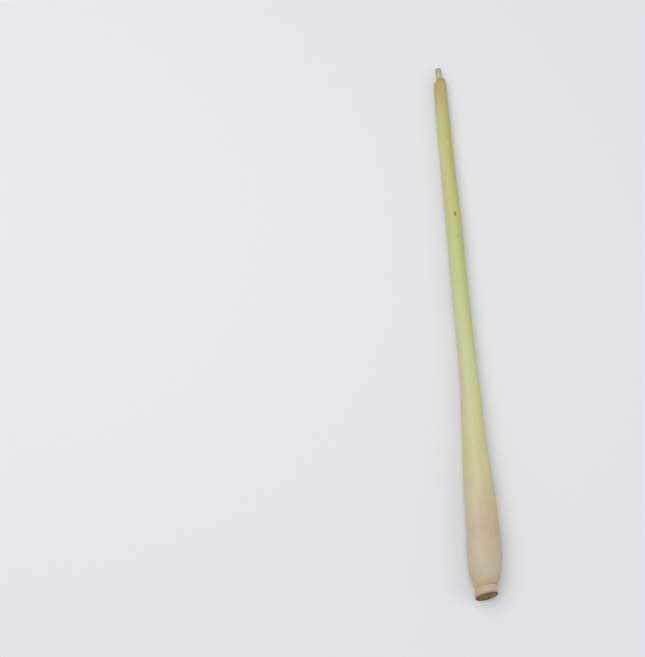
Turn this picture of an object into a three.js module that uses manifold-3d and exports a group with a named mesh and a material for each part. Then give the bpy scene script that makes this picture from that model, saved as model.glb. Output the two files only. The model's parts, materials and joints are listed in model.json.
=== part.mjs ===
// A cut lemongrass stalk, lying on a flat surface: a pale, swollen bulb that narrows to a long, thin top.
// It is a bundle of leaves on a short stem, and each piece is a solid of its own:
//   stem_base     the short solid stem, cut across at the bottom, with the cone that the leaves grow round
//   outer_sheath  the outermost leaf, a long sheet rolled once round the stalk with its margins lapped
//   inner_sheath  the next leaf, rolled the other way, whose rim stands out of the outer one
//   heart_shoot   the tight roll of young leaves in the middle, which comes out at the top and is cut flat
//
// Millimetres. The stalk lies along Y, its cut foot at -Y and its shoot at +Y, with +Z up.
// The origin is the middle of the bottom of the bounding box.

import * as THREE from 'three';
import { LoftGeometry } from 'three/addons/geometries/LoftGeometry.js';
import { mergeVertices } from 'three/addons/utils/BufferGeometryUtils.js';
import Module from 'manifold-3d';

const wasm = await Module();
wasm.setup();

// ---- Driving dimensions ----
// A place along the stalk is its distance from the cut foot. An angle is in degrees, from +X towards +Z.

const STALK_LENGTH = 420; // from the middle of the cut foot to the tip of the shoot
const BULB_WIDTH = 25; // the widest part
const NECK_WIDTH = 12.4; // the even stretch above the bulb
const TOP_WIDTH = 10.4; // just under the rim
const STEM_WIDTH = 16; // the stub of stem under the bulb
const SHOOT_WIDTH = 4;
const OVAL = 0.94; // a section's height over its width

const NODE = 7.8; // where the outer leaf grows from the stem
const HEART_FOOT = 18;
const CONE_TOP = 34; // the tip of the stem, inside the bulb

const WALL_AT_NODE = 0.8; // the thickness of the outer leaf
const WALL_AT_BULB = 1.3;
const WALL_AT_TOP = 0.7;
const MARGIN = 0.6; // its thickness at its two margins
const INNER_WALL = 0.86; // the inner leaf's thickness over the outer one's
const LAP = 36; // degrees by which one margin of the outer leaf lies over the other
const SLIT = 18; // degrees between the margins of the inner leaf
const LAP_GAP = 0.25; // between the lapped margins
const CLEARANCE = 0.32; // between one piece and the next
const RIBS = 20;
const RIB_DEPTH = 0.2;

// The slanted edges: the highest place, the angle where it is, and how much lower the edge is opposite.
const CUT = { peak: 2.1, drop: 4.2, angle: 54 };
const OUTER_FOOT = { peak: NODE + 1.3, drop: 2.6, angle: 0 };
const INNER_FOOT = { peak: 12.5, drop: 0, angle: 0 };
const OUTER_RIM = { peak: 408.2, drop: 5.5, angle: 82 };
const INNER_RIM = { peak: 406.6, drop: 8, angle: 200 };
const SHOULDER = { length: 15, angle: 45, most: 0.3, least: 0.03 }; // the rim draws in, most at one side
const SHOOT_LEAN = 0.4; // how far the shoot leans to the left as it leaves the rim

const BULB_REST = { place: 45, depth: 0.35 }; // where the stalk rests, and how far it is pressed flat there
const TOP_REST = { place: 394, depth: 0.22 };

// ---- Curves along the stalk ----

const { clamp, degToRad, lerp, smoothstep } = THREE.MathUtils;

// A smooth curve through pairs of a place along the stalk and the value there.
function along( ...pairs ) {

	const places = Float32Array.from( pairs, ( [ s ] ) => s );
	const values = Float32Array.from( pairs, ( [ , value ] ) => value );
	const curve = new THREE.CubicInterpolant( places, values, 1 );
	return ( s ) => curve.evaluate( clamp( s, places[ 0 ], places.at( - 1 ) ) )[ 0 ];

}

// The outline: half the width of the outer leaf.
const stalkRadius = along(
	[ NODE - 1, 0.5 * STEM_WIDTH ], [ 9.5, 0.345 * BULB_WIDTH ], [ 13, 0.41 * BULB_WIDTH ],
	[ 20, 0.472 * BULB_WIDTH ], [ 31, 0.497 * BULB_WIDTH ], [ 44, 0.483 * BULB_WIDTH ],
	[ 68, 0.452 * BULB_WIDTH ], [ 90, 0.405 * BULB_WIDTH ], [ 112, 0.342 * BULB_WIDTH ],
	[ 136, 0.625 * NECK_WIDTH ], [ 160, 0.55 * NECK_WIDTH ], [ 205, 0.51 * NECK_WIDTH ],
	[ 280, 0.495 * NECK_WIDTH ], [ 345, 0.53 * TOP_WIDTH ], [ 396, 0.507 * TOP_WIDTH ],
	[ STALK_LENGTH, 0.49 * TOP_WIDTH ] );

// The stalk wavers a little to the side, and slopes down from its bulb to its top.
const bow = along( [ 0, 0 ], [ 20, 0.2 ], [ 44, 1 ], [ 68, 1.05 ], [ 108, 0.6 ], [ 160, 1.15 ], [ 235, 0.35 ],
	[ 280, 0.35 ], [ 345, - 0.5 ], [ 385, - 0.65 ], [ STALK_LENGTH, - 0.3 ] );
const restHeight = ( { place, depth } ) => OVAL * stalkRadius( place ) - depth;
const height = ( s ) => lerp( restHeight( BULB_REST ), restHeight( TOP_REST ),
	( s - BULB_REST.place ) / ( TOP_REST.place - BULB_REST.place ) );

const wall = ( s ) => lerp( WALL_AT_NODE, lerp( WALL_AT_BULB, WALL_AT_TOP, smoothstep( s, 60, 260 ) ),
	smoothstep( s, NODE - 2, 26 ) );
const coneRadius = ( s ) => lerp( 4.3, 1.2, ( s - NODE ) / ( CONE_TOP - NODE ) );

// The outer leaf's free margin winds slowly from the right of the bulb's top to the left of the neck's.
const marginAngle = along( [ 0, 68 ], [ 95, 72 ], [ 150, 92 ], [ 200, 116 ], [ 300, 132 ], [ STALK_LENGTH, 138 ] );

// 1 at the given angle, 0 on the opposite side.
const facing = ( angle, towards ) => 0.5 + 0.5 * Math.cos( degToRad( angle - towards ) );
const edgeAt = ( edge, angle ) => edge.peak - edge.drop * ( 1 - facing( angle, edge.angle ) );

// What the shoulder under the outer rim leaves of the radius.
function drawnIn( s, angle ) {

	const closed = ( 1 - smoothstep( edgeAt( OUTER_RIM, angle ) - s, 0, SHOULDER.length ) ) ** 2;
	return 1 - closed * lerp( SHOULDER.least, SHOULDER.most, facing( angle, SHOULDER.angle ) ** 2 );

}

function pointAt( s, angle, radius ) {

	const a = degToRad( angle );
	return new THREE.Vector3( bow( s ) + radius * Math.cos( a ), s, height( s ) + OVAL * radius * Math.sin( a ) );

}

// ---- Solids ----

const loft = ( sections ) => new LoftGeometry( sections, { capStart: true, capEnd: true } );

function solidOf( geometry ) {

	const bare = new THREE.BufferGeometry().copy( geometry );
	bare.deleteAttribute( 'normal' );
	bare.deleteAttribute( 'uv' );
	const merged = mergeVertices( bare );
	return new wasm.Manifold( new wasm.Mesh( {
		numProp: 3,
		vertProperties: merged.attributes.position.array,
		triVerts: new Uint32Array( merged.index.array )
	} ) );

}

function geometryOf( solid ) {

	const { vertProperties, triVerts } = solid.getMesh();
	const geometry = new THREE.BufferGeometry();
	geometry.setAttribute( 'position', new THREE.BufferAttribute( vertProperties, 3 ) );
	geometry.setIndex( new THREE.BufferAttribute( triVerts, 1 ) );
	geometry.computeVertexNormals();
	return geometry;

}

const cut = ( geometry, tool ) => geometryOf( solidOf( geometry ).subtract( solidOf( tool ) ) );

const steps = ( from, to, step ) => Array.from( { length: Math.round( ( to - from ) / step ) + 1 },
	( _, i ) => from + i * step );

// ---- The two sheaths ----

// A leaf rolled round the stalk, as sections that run out along its outside and back along its inside.
// turn is how far round the roll a place is, in degrees clockwise from the free margin.
function rolledLeaf( { foot, rim, places, margin, turns, skin, thickness } ) {

	const shares = [ 0, ...places.map( ( s ) => ( s - foot.peak ) / ( rim.peak - foot.peak ) ), 1 ];
	return loft( shares.map( ( share ) => {

		const start = margin( lerp( foot.peak, rim.peak, share ) );
		const side = ( turn, inside ) => {

			const angle = start - turn;
			const s = lerp( edgeAt( foot, angle ), edgeAt( rim, angle ), share );
			return pointAt( s, angle, skin( s, angle, turn ) - inside * thickness( s, turn ) );

		};

		const outside = turns.map( ( turn ) => side( turn, 0 ) );
		const inside = turns.map( ( turn ) => side( turn, 1 ) );
		return [ ...outside, ...inside.reverse() ];

	} ) );

}

function outerSheath() {

	const last = 360 + LAP;
	const taper = ( s, fromMargin ) => ( wall( s ) - MARGIN ) * ( 1 - smoothstep( fromMargin, 0, 30 ) );

	// The sheet winds inwards by its own thickness, so that its end goes under its free margin.
	const skin = ( s, angle, turn ) => {

		const wound = ( wall( s ) + LAP_GAP ) * ( 0.5 - smoothstep( turn, LAP, 360 ) );
		const rib = RIB_DEPTH * facing( RIBS * turn, 180 ) * smoothstep( s, NODE, 30 );
		return stalkRadius( s ) * drawnIn( s, angle ) + wound - rib - taper( s, turn );

	};

	const leaf = rolledLeaf( {
		foot: OUTER_FOOT, rim: OUTER_RIM, margin: marginAngle, turns: steps( 0, last, 180 / RIBS ), skin,
		places: [ 10.4, 12.5, 15.5, 20, 26, 33, 41, 50, 62, 76, 90, 104, 118, 134, 155, 185, 220, 260, 300, 340,
			372, 389, 396, 400, 403, 405, 406.8 ],
		thickness: ( s, turn ) => wall( s ) - taper( s, turn ) - taper( s, last - turn )
	} );

	// What would reach below the surface is pressed flat.
	const surface = new THREE.BoxGeometry( 4 * BULB_WIDTH, 2 * STALK_LENGTH, BULB_WIDTH );
	surface.translate( 0, STALK_LENGTH / 2, - BULB_WIDTH / 2 );
	return cut( leaf, surface );

}

// The radius that the outer leaf leaves free inside it.
const insideOuter = ( s, angle ) => stalkRadius( s ) * drawnIn( s, angle ) - 1.5 * wall( s )
	- 0.5 * LAP_GAP - RIB_DEPTH - CLEARANCE;

function innerSheath() {

	// Its foot draws in to the stem.
	const skin = ( s, angle ) => insideOuter( s, angle ) * smoothstep( s, - 12, INNER_FOOT.peak + 6 );
	return rolledLeaf( {
		foot: INNER_FOOT, rim: INNER_RIM, turns: steps( SLIT / 2, 360 - SLIT / 2, SLIT ), skin,
		margin: ( s ) => marginAngle( s ) + 180,
		places: [ 16, 22, 32, 48, 70, 95, 120, 155, 210, 270, 330, 380, 396, 401, 404 ],
		thickness: ( s ) => INNER_WALL * wall( s )
	} );

}

// ---- The heart and the stem ----

function ring( s, radius, sides, lean = 0 ) {

	return steps( 0, 360 - 360 / sides, 360 / sides ).map( ( turn ) => {

		const point = pointAt( s, - turn, radius );
		point.x -= lean;
		return point;

	} );

}

function heartShoot() {

	const sides = 24;
	const shoot = SHOOT_WIDTH / 2;
	const space = ( s ) => ( insideOuter( s, 0 ) - INNER_WALL * wall( s ) - CLEARANCE ) * smoothstep( s, - 30, 32 );
	const body = ( s ) => lerp( space( Math.min( s, 380 ) ), shoot, smoothstep( s, 300, 385 ) );
	const lean = ( s ) => SHOOT_LEAN * smoothstep( s, 385, 408 ) * ( 1 - 0.8 * smoothstep( s, 408, STALK_LENGTH ) );
	const places = [ HEART_FOOT, 22, 28, 36, 48, 64, 82, 100, 120, 145, 180, 225, 275, 320, 350, 385, 400, 408, 414 ];
	const roll = loft( [
		...places.map( ( s ) => ring( s, body( s ), sides, lean( s ) ) ),
		ring( STALK_LENGTH - 0.5, shoot - 0.1, sides, lean( STALK_LENGTH ) ),
		ring( STALK_LENGTH, shoot - 0.4, sides, lean( STALK_LENGTH ) )
	] );
	const socket = loft( [ HEART_FOOT - 4, HEART_FOOT, CONE_TOP + CLEARANCE ].map(
		( s ) => ring( s, coneRadius( s ) + CLEARANCE, sides ) ) );
	return cut( roll, socket );

}

function stemBase() {

	const sides = 32;
	const stub = STEM_WIDTH / 2;
	const top = { ...OUTER_FOOT, peak: OUTER_FOOT.peak - CLEARANCE };
	const flat = ( s ) => ( { peak: s, drop: 0, angle: 0 } );

	// A ring part of the way from one slanted edge to another.
	const between = ( from, to, share, radius ) => steps( 0, 360 - 360 / sides, 360 / sides ).map( ( turn ) =>
		pointAt( lerp( edgeAt( from, - turn ), edgeAt( to, - turn ), share ), - turn, radius ) );

	const stubOutline = [ [ 0, 0.94 ], [ 0.07, 0.98 ], [ 0.35, 0.98 ], [ 0.7, 0.985 ], [ 0.93, 1.02 ], [ 1, 1.01 ] ];
	return loft( [
		...stubOutline.map( ( [ share, width ] ) => between( CUT, top, share, width * stub ) ),
		between( top, top, 0, coneRadius( NODE ) ),
		...[ 20, CONE_TOP ].map( ( s ) => between( flat( s ), flat( s ), 0, coneRadius( s ) ) )
	] );

}

// ---- The stalk ----

function piece( name, geometry, color, roughness ) {

	const mesh = new THREE.Mesh( geometry, new THREE.MeshStandardMaterial( { color, roughness, metalness: 0 } ) );
	mesh.name = name;
	return mesh;

}

const pieces = new THREE.Group();
pieces.add(
	piece( 'stem_base', stemBase(), 0xb39a72, 0.75 ),
	piece( 'outer_sheath', outerSheath(), 0xc9c793, 0.5 ),
	piece( 'inner_sheath', innerSheath(), 0xbfa878, 0.6 ),
	piece( 'heart_shoot', heartShoot(), 0xb9c07c, 0.5 )
);

// The pieces are moved so that their bounding box stands centred on the origin.
const box = new THREE.Box3().setFromObject( pieces, true );
const middle = box.getCenter( new THREE.Vector3() );
pieces.position.set( - middle.x, - middle.y, - box.min.z );

const stalk = new THREE.Group();
stalk.name = 'lemongrass_stalk';
stalk.add( pieces );

export default stalk;
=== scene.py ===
# %% [markdown]
# # A stalk of lemongrass
# One cut stalk lies on a pale table. On the real plant it is a short stub of stem with leaf sheaths
# rolled tightly round each other, and a young shoot in the middle that stands out at the top.
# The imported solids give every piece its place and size. Here each of them is modelled again, finer,
# the way the plant makes it: a flat leaf, rolled up round the stalk.

# %% Load the frame
import json
import math

import bpy
import numpy as np
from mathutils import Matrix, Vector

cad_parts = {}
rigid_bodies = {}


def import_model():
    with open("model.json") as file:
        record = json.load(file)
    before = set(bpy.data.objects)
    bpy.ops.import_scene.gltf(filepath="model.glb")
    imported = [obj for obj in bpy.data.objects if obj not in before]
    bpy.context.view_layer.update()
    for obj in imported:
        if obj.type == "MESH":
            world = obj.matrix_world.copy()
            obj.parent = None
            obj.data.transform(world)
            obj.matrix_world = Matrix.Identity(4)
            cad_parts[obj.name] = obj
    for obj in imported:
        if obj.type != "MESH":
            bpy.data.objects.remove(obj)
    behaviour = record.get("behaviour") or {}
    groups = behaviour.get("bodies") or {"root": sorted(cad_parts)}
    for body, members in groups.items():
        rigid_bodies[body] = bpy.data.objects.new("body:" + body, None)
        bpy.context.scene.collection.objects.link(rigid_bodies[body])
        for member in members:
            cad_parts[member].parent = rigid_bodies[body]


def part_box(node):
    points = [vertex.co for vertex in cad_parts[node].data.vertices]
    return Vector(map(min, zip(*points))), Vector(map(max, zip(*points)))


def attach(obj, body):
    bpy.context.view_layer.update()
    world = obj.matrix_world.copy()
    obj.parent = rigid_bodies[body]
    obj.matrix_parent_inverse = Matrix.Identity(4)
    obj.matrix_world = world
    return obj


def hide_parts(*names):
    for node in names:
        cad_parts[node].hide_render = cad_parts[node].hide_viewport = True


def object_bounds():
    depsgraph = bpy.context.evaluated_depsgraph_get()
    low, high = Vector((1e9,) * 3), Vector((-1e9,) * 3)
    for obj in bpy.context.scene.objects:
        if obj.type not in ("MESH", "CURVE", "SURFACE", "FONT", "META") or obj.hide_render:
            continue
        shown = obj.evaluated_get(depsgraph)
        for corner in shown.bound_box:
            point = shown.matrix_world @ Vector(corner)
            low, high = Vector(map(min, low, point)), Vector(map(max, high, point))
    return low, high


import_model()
cad_low, cad_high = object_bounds()
print("the solids reach from", [round(v, 4) for v in cad_low], "to", [round(v, 4) for v in cad_high])

# %% [markdown]
# ## The camera
# The stalk is seen from above and a little from its foot, 73 degrees down and turned 3 degrees.
# A camera that is added at (0, 0, 0) looks straight down with +Y upwards, so two small turns are
# enough: one about X raises the view towards the tip, one about Z turns it sideways.

# %% Camera
CAMERA_PLACE = (-0.12058, -0.28132, 0.91169)
LOOK_DOWN = math.radians(73)
LOOK_ASIDE = math.radians(3)
LONG_SIDE_PIXELS = 657
FOCAL_PIXELS = 1258

scene = bpy.context.scene
bpy.ops.object.camera_add(
    location=CAMERA_PLACE,
    rotation=(math.pi / 2 - LOOK_DOWN, 0, -LOOK_ASIDE),
)
camera = bpy.context.object
camera.name = "camera"
camera.data.lens = camera.data.sensor_width * FOCAL_PIXELS / LONG_SIDE_PIXELS
scene.camera = camera
print("camera lens", round(camera.data.lens, 2), "mm")

# %% [markdown]
# ## Table and light
# A studio table is one large pale plane. Wide panels make soft shadows, because light comes from
# every point of them: one high on the left gives the stalk its round shading, a weaker one on the
# right opens the shadow, and a bright even background fills the rest.

# %% Table and light
def colour(red, green, blue):
    """A colour as seen on a screen, 0 to 255 a channel, as the linear colour that shaders use."""
    shares = [value / 255 for value in (red, green, blue)]
    linear = [s / 12.92 if s <= 0.04045 else ((s + 0.055) / 1.055) ** 2.4 for s in shares]
    return (*linear, 1.0)


def new_skin(name, column):
    """A new material with nodes, its tree, and its shader, which is put at a column."""
    material = bpy.data.materials.new(name)
    material.use_nodes = True
    tree = material.node_tree
    shader = tree.nodes["Principled BSDF"]
    shader.location = (200 * column, 0)
    tree.nodes["Material Output"].location = (200 * column + 300, 0)
    return material, tree, shader


def soft_panel(name, place, width, height, watts):
    """A rectangular area light at a place, facing the middle of the table."""
    bpy.ops.object.light_add(type="AREA", location=place)
    panel = bpy.context.object
    panel.name = name
    panel.data.shape = "RECTANGLE"
    panel.data.size = width
    panel.data.size_y = height
    panel.data.energy = watts
    panel.rotation_euler = (-panel.location).to_track_quat("-Z", "Y").to_euler()


bpy.ops.object.select_all(action="DESELECT")
bpy.ops.mesh.primitive_plane_add(size=6, location=(0, 0, -0.0001))
table = bpy.context.object
table.name = "table"
pale, tree, shader = new_skin("pale table", 2)
shader.inputs["Base Color"].default_value = colour(225, 225, 229)
shader.inputs["Roughness"].default_value = 0.7
table.data.materials.append(pale)

soft_panel("panel overhead", (-0.45, 0.15, 1.3), 1.3, 1.5, 12)
soft_panel("panel on the right", (1.1, -0.3, 0.9), 1.0, 1.2, 3)
world = bpy.data.worlds.new("studio")
scene.world = world
world.use_nodes = True
background = world.node_tree.nodes["Background"]
background.inputs["Color"].default_value = (1.0, 1.0, 1.0, 1.0)
background.inputs["Strength"].default_value = 0.52
scene.view_settings.view_transform = "Standard"

# %% [markdown]
# ## The stalk's own measure
# A point is told by how far it is from the cut foot and by its angle round the stalk, from +X
# towards +Z. The radius, the slight bow and the winding of the free edge are smooth curves through
# a few measured places.

# %% Measures
MM = 0.001
LENGTH = 420 * MM
BULB = 25
NECK = 12.4
TOP = 10.4
STEM = 16.6
OVAL = 0.94
NODE = 7.8 * MM
FOOT_Y = cad_high.y - LENGTH
MIDDLE_X = -1.16 * MM


def along(*knots, unit=MM):
    """A smooth curve through (millimetres from the foot, value) knots, as a function of metres."""
    places, values = np.array(knots, dtype=float).T * [[MM], [unit]]
    steps = np.diff(values) / np.diff(places)
    slopes = np.concatenate([steps[:1], (steps[:-1] + steps[1:]) / 2, steps[-1:]])

    def curve(place):
        left = np.clip(np.searchsorted(places, place) - 1, 0, len(steps) - 1)
        span = places[left + 1] - places[left]
        t = np.clip((place - places[left]) / span, 0, 1)
        start = values[left] * (1 + 2 * t) * (1 - t) ** 2 + slopes[left] * span * t * (1 - t) ** 2
        end = values[left + 1] * t**2 * (3 - 2 * t) - slopes[left + 1] * span * t**2 * (1 - t)
        return start + end

    return curve


print("a stalk", LENGTH, "m long, its foot at y", round(FOOT_Y, 4))

# %% Curves along the stalk
stalk_radius = along(
    (4.5, 0.5 * STEM), (8.1, 0.352 * BULB), (11.6, 0.412 * BULB), (15.1, 0.442 * BULB),
    (20, 0.475 * BULB), (31, 0.497 * BULB), (44, 0.483 * BULB), (68, 0.452 * BULB), (90, 0.405 * BULB),
    (112, 0.342 * BULB), (136, 0.625 * NECK), (160, 0.55 * NECK), (205, 0.51 * NECK),
    (280, 0.495 * NECK), (345, 0.53 * TOP), (396, 0.507 * TOP), (420, 0.49 * TOP),
)
bow = along(
    (0, 0), (20, 0.2), (44, 1), (68, 1.05), (108, 0.6), (160, 1.15),
    (235, 0.35), (280, 0.35), (345, -0.5), (385, -0.75), (420, -0.6),
)
free_edge = along((0, 68), (95, 72), (150, 92), (200, 116), (300, 132), (420, 138), unit=1)
BULB_REST = 45 * MM
TOP_REST = 394 * MM
BULB_PRESSED = 0.35 * MM
TOP_PRESSED = 0.22 * MM
rest_low = OVAL * stalk_radius(BULB_REST) - BULB_PRESSED
rest_high = OVAL * stalk_radius(TOP_REST) - TOP_PRESSED


def smooth(value, low, high):
    """0 below low, 1 above high, and an even curve between."""
    t = np.clip((value - low) / (high - low), 0, 1)
    return t * t * (3 - 2 * t)


def height(place):
    """How high the stalk's middle lies over the table: it rests on its bulb and near its tip."""
    return rest_low + (rest_high - rest_low) * (place - BULB_REST) / (TOP_REST - BULB_REST)


def facing(angle, towards):
    """1 where an angle in degrees points the same way, 0 where it points the other way."""
    return 0.5 + 0.5 * np.cos(np.radians(angle - towards))


print("bulb", round(2000 * float(stalk_radius(0.031)), 1), "mm wide, neck",
      round(2000 * float(stalk_radius(0.205)), 1), "mm")

# %% [markdown]
# ## Tools for working on a mesh
# By hand one picks points on the screen. In a script they are picked by where they are: one true or
# false for each point goes into the mesh, and edit mode shows them as selected. To move each point
# by its own amount, the amounts are painted as weights and a Displace modifier pushes by them.

# %% Helpers for meshes
def work_on(piece):
    """Nothing is selected but this piece."""
    bpy.ops.object.select_all(action="DESELECT")
    piece.select_set(True)
    bpy.context.view_layer.objects.active = piece


def points(piece):
    """The piece's points, as rows of x, y, z."""
    found = np.empty(len(piece.data.vertices) * 3)
    piece.data.vertices.foreach_get("co", found)
    return found.reshape(-1, 3)


def from_middle(piece):
    """Each point's distance from the stalk's middle line, as if the stalk were round."""
    x, y, z = points(piece).T
    place = y - FOOT_Y
    return np.hypot(x - MIDDLE_X - bow(place), (z - height(place)) / OVAL)


def edit(piece, chosen):
    """Opens edit mode with just the chosen points selected."""
    work_on(piece)
    mesh = piece.data
    for kind in (mesh.edges, mesh.polygons):
        kind.foreach_set("select", np.zeros(len(kind), dtype=bool))
    mesh.vertices.foreach_set("select", chosen)
    bpy.ops.object.mode_set(mode="EDIT")
    bpy.ops.mesh.select_mode(type="VERT")

# %% Helpers that push points
def modify(piece, kind, **settings):
    """Adds a modifier with its settings and applies it."""
    work_on(piece)
    modifier = piece.modifiers.new(kind.lower(), kind)
    for name, value in settings.items():
        setattr(modifier, name, value)
    bpy.ops.object.modifier_apply(modifier=modifier.name)


def paint(piece, name, amounts):
    """Paints one weight a point, each as its share of the largest amount, and returns that amount."""
    most = float(amounts.max())
    group = piece.vertex_groups.new(name=name)
    for index, amount in enumerate(amounts):
        group.add([index], float(amount) / most, "REPLACE")
    return most


def push(piece, amounts, direction="NORMAL"):
    """Moves each point by its own amount: inwards, or back along X, Y or Z."""
    most = paint(piece, "push", amounts)
    modify(piece, "DISPLACE", strength=-most, mid_level=0, direction=direction, vertex_group="push")
    piece.vertex_groups.remove(piece.vertex_groups["push"])


def make_uneven(piece, size, depth, where):
    """Gives a skin the soft hollows and swellings of a grown thing, by a share for each point."""
    clouds = bpy.data.textures.new("soft hollows", "CLOUDS")
    clouds.noise_scale = size
    clouds.noise_depth = 1
    paint(piece, "uneven", where)
    modify(
        piece, "DISPLACE",
        texture=clouds, texture_coords="LOCAL", strength=depth, mid_level=0.5, vertex_group="uneven",
    )
    piece.vertex_groups.remove(piece.vertex_groups["uneven"])
    bpy.data.textures.remove(clouds)

# %% [markdown]
# ## How a leaf is rolled
# A sheath is a flat leaf that wraps the stalk. It could be turned as a tube and cut open, but a
# rolled sheet gives the free edge, the lap beneath it and straight veins for nothing. So a flat
# grid is stood on edge, Simple Deform bends it into a roll, and then each row of points is sized,
# turned and moved to its place on the stalk. The grid's own UV map goes with it: U runs across the
# leaf and V from its foot to its rim, along the veins.

# %% Rolling a leaf
def wrap_rows(leaf, rows, foot, rim, radius, start):
    """Sizes each row of a roll to radius(place), and turns its first edge to start(place) degrees."""
    for place in np.linspace(foot, rim, rows + 1):
        y = FOOT_Y + place
        middle = (0, y, 0)
        size = float(radius(place)) / (BULB / 2 * MM)
        edit(leaf, np.abs(points(leaf)[:, 1] - y) < (rim - foot) / rows / 4)
        bpy.ops.transform.rotate(
            value=math.radians(float(start(place)) - 180), orient_axis="Y", center_override=middle
        )
        bpy.ops.transform.resize(value=(size, 1, OVAL * size), center_override=middle)
        bpy.ops.transform.translate(value=(MIDDLE_X + float(bow(place)), 0, float(height(place))))
        bpy.ops.object.mode_set(mode="OBJECT")


def rolled_leaf(name, turn, grid, foot, rim, radius, start):
    """A sheet of leaf from foot to rim, rolled through turn degrees and wrapped to its place."""
    girth = math.radians(turn) * BULB / 2 * MM
    bpy.ops.object.select_all(action="DESELECT")
    bpy.ops.mesh.primitive_grid_add(x_subdivisions=grid[0], y_subdivisions=grid[1], size=1)
    leaf = bpy.context.object
    leaf.name = name
    leaf.data.name = name
    bpy.ops.object.mode_set(mode="EDIT")
    bpy.ops.mesh.select_all(action="SELECT")
    bpy.ops.transform.resize(value=(girth, rim - foot, 1), center_override=(0, 0, 0))
    bpy.ops.transform.rotate(value=math.pi / 2, orient_axis="Y", center_override=(0, 0, 0))
    bpy.ops.transform.translate(value=(0, FOOT_Y + (foot + rim) / 2, girth / 2))
    bpy.ops.object.mode_set(mode="OBJECT")
    modify(leaf, "SIMPLE_DEFORM", deform_method="BEND", deform_axis="Y", angle=math.radians(turn))
    edit(leaf, np.ones(len(leaf.data.vertices), dtype=bool))
    bpy.ops.transform.translate(value=(-BULB / 2 * MM, 0, 0))
    bpy.ops.object.mode_set(mode="OBJECT")
    wrap_rows(leaf, grid[1], foot, rim, radius, start)
    return leaf


def leaf_map(leaf):
    """Each point's place on the flat leaf: across it from 0 to 1, and from its foot to its rim."""
    uv = np.empty(len(leaf.data.loops) * 2)
    leaf.data.uv_layers[0].data.foreach_get("uv", uv)
    corner = np.empty(len(leaf.data.loops), dtype=int)
    leaf.data.loops.foreach_get("vertex_index", corner)
    placed = np.empty((len(leaf.data.vertices), 2))
    placed[corner] = uv.reshape(-1, 2)
    return placed[:, 0], placed[:, 1]

# %% [markdown]
# ## The outer leaf
# The outer leaf goes once round and a tenth of a turn further, so its free edge laps over its own
# beginning. Its foot is slanted, where it grew from the slanted ring of the stem, and its rim is a
# slanted arch that was trimmed and then dried. The whole sheet is made round first, and then
# pushed: down where foot and rim hang lower, in at the dried rim, round the lap and between the
# ribs. The free edge goes in a hair deeper than the turn that it lies on, so no crack shows, and
# the foot is gathered, a little at a time, into the collar.

# %% Outer leaf, rolled
OUTER_TURN = 396
OUTER_GRID = (90, 100)
FOOT_PEAK = NODE
FOOT_DROP = 3.2 * MM
FOOT_ANGLE = 25
RIM_PEAK = 408.2 * MM
RIM_DROP = 5.5 * MM
RIM_ANGLE = 72
LAP_GAP = 0.25 * MM
FOOT_WALL = 0.4 * MM
EDGE_WALL = 0.14 * MM
EDGE_SUNK = 0.09 * MM
EDGE_WIDTH = 70
COLLAR_RADIUS = 8.5 * MM
RIBS = 20
RIB_DEPTH = 0.12 * MM
BULB_WALL = 1.3 * MM
THINNER_ABOVE = 0.6 * MM
RIM_DRAWN_IN = 0.24
RIM_DRAWN_DEPTH = 13 * MM
RIM_DRAWN_ANGLE = 105
FOOT_SHARE = 0.008
FOOT_GATHERINGS = 3
HOLLOW_SIZE = 16 * MM
HOLLOW_DEPTH = 0.5 * MM


def wall(place):
    """How thick the sheath is: thin at the ring it grew from, fleshy at the bulb, thin at the top."""
    grown = BULB_WALL - THINNER_ABOVE * smooth(place, 60 * MM, 260 * MM)
    return FOOT_WALL + (grown - FOOT_WALL) * smooth(place, NODE - 2 * MM, 26 * MM)


def lap(place):
    """How far out the free edge lies over the leaf's own beginning."""
    return wall(place) + LAP_GAP * smooth(place, NODE, 26 * MM)


def outer_radius(place):
    """The outer leaf's skin at its free edge, which lies outermost."""
    return stalk_radius(place) + 0.5 * lap(place)


outer_leaf = rolled_leaf(
    "outer_leaf", OUTER_TURN, OUTER_GRID, FOOT_PEAK, RIM_PEAK, outer_radius, free_edge
)
print("outer leaf:", len(outer_leaf.data.vertices), "points")

# %% Outer leaf, pushed into shape
def slanted(share, angle, drop, drop_angle):
    """How far each point is pushed down for a foot or a rim that hangs lower away from an angle."""
    return drop * (1 - facing(angle, drop_angle)) * share


def rim_closing(place, angle):
    """How far the dried rim has drawn in, as a share of the radius."""
    from_rim = RIM_PEAK - RIM_DROP * (1 - facing(angle, RIM_ANGLE)) - place
    closed = (1 - smooth(from_rim, 0, RIM_DRAWN_DEPTH)) ** 2
    return closed * RIM_DRAWN_IN * facing(angle, RIM_DRAWN_ANGLE) ** 2


across, share = leaf_map(outer_leaf)
before = FOOT_PEAK + (RIM_PEAK - FOOT_PEAK) * share
angle = free_edge(before) - across * OUTER_TURN
foot_slant = slanted(1 - share, angle, FOOT_DROP, FOOT_ANGLE)
push(outer_leaf, foot_slant + slanted(share, angle, RIM_DROP, RIM_ANGLE), "Y")
level = points(outer_leaf)[:, 1]
place = level - FOOT_Y
turned = across * OUTER_TURN
angle = free_edge(place) - turned
push(outer_leaf, np.maximum(outer_radius(before) - outer_radius(place), 0))
push(outer_leaf, stalk_radius(place) * rim_closing(place, angle))
push(outer_leaf, lap(place) * smooth(turned, OUTER_TURN - 360, 360))
rib_strength = smooth(place, NODE, 30 * MM) * (1 - 0.7 * smooth(share, 0.985, 1.0))
push(outer_leaf, RIB_DEPTH * facing(RIBS * turned, 180) * rib_strength)
push(outer_leaf, (lap(place) - EDGE_WALL + EDGE_SUNK) * (1 - smooth(turned, 0, EDGE_WIDTH)))
snug = COLLAR_RADIUS - FOOT_WALL * smooth(turned, 330, 372)
at_foot = 1 - smooth(share, 0, FOOT_SHARE)
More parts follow.
